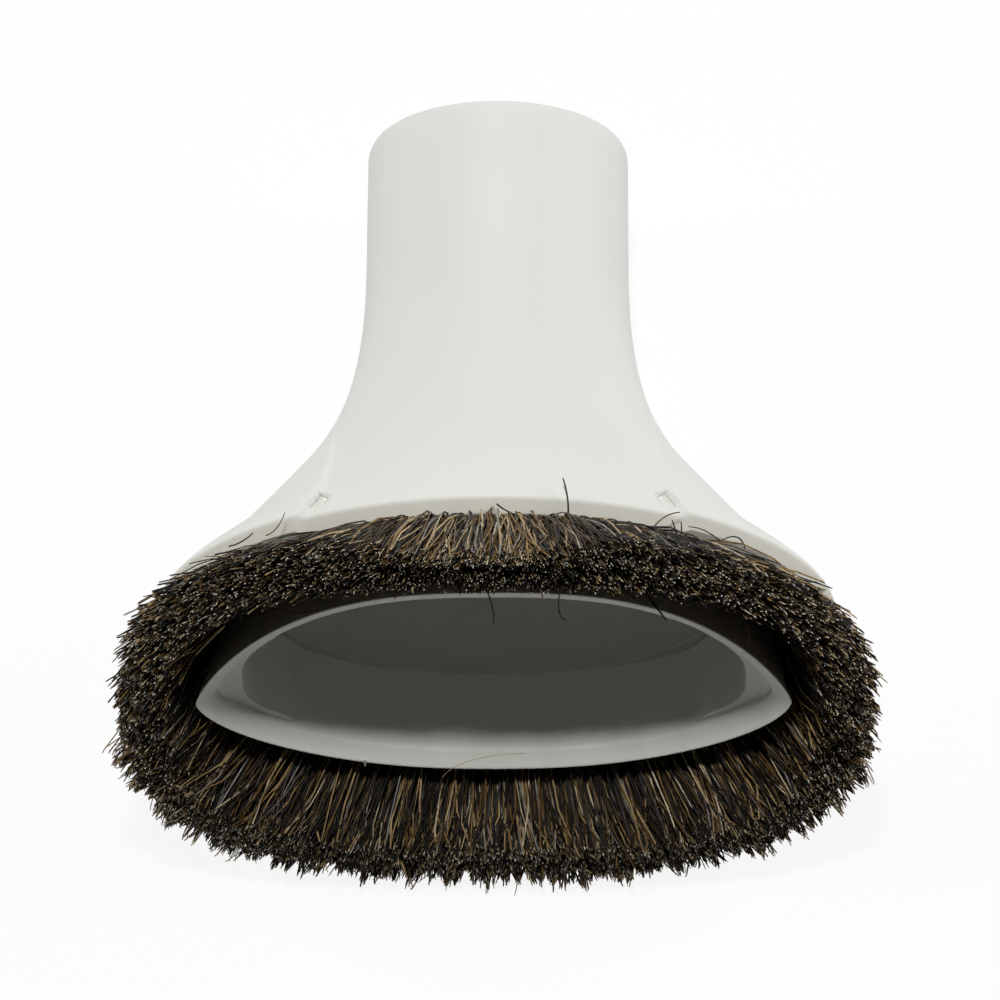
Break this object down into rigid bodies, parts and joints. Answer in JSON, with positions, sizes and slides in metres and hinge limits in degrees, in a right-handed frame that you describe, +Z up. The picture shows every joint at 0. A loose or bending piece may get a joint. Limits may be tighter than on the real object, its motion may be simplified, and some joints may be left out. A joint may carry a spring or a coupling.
{
  "type": "vacuum dusting brush",
  "caption": "Oval dusting brush with a pale plastic hood, a lens-shaped suction lip, a ring of natural hair tufts and a round push-fit neck.",
  "frame": {"origin": "middle of the bounding box's bottom face, on the surface that the brush lies on", "axes": "+X across the mouth, +Y along the neck towards its open end, +Z up with the brush lying on its back"},
  "size_m": [0.103, 0.103, 0.057],
  "materials": {
    "hood_plastic": "pale grey moulding, satin",
    "insert_plastic": "warm pale grey moulding, satin",
    "hair": "natural animal hair, dark brown with cream and tan strands"
  },
  "bodies": {
    "root": {"nozzle_hood": "hood_plastic", "lip_insert": "insert_plastic", "tuft_01": "hair", "tuft_02": "hair", "tuft_03": "hair", "tuft_04": "hair", "tuft_05": "hair", "tuft_06": "hair", "tuft_07": "hair", "tuft_08": "hair", "tuft_09": "hair", "tuft_10": "hair", "tuft_11": "hair", "tuft_12": "hair", "tuft_13": "hair", "tuft_14": "hair", "tuft_15": "hair", "tuft_16": "hair", "tuft_17": "hair", "tuft_18": "hair", "tuft_19": "hair", "tuft_20": "hair", "tuft_21": "hair", "tuft_22": "hair", "tuft_23": "hair", "tuft_24": "hair", "tuft_25": "hair", "tuft_26": "hair", "tuft_27": "hair", "tuft_28": "hair", "tuft_29": "hair", "tuft_30": "hair", "tuft_31": "hair", "tuft_32": "hair", "tuft_33": "hair", "tuft_34": "hair", "tuft_35": "hair", "tuft_36": "hair", "tuft_37": "hair", "tuft_38": "hair", "tuft_39": "hair", "tuft_40": "hair", "tuft_41": "hair", "tuft_42": "hair", "tuft_43": "hair", "tuft_44": "hair", "tuft_45": "hair", "tuft_46": "hair", "tuft_47": "hair", "tuft_48": "hair", "tuft_49": "hair", "tuft_50": "hair", "tuft_51": "hair", "tuft_52": "hair"}
  },
  "joints": []
}
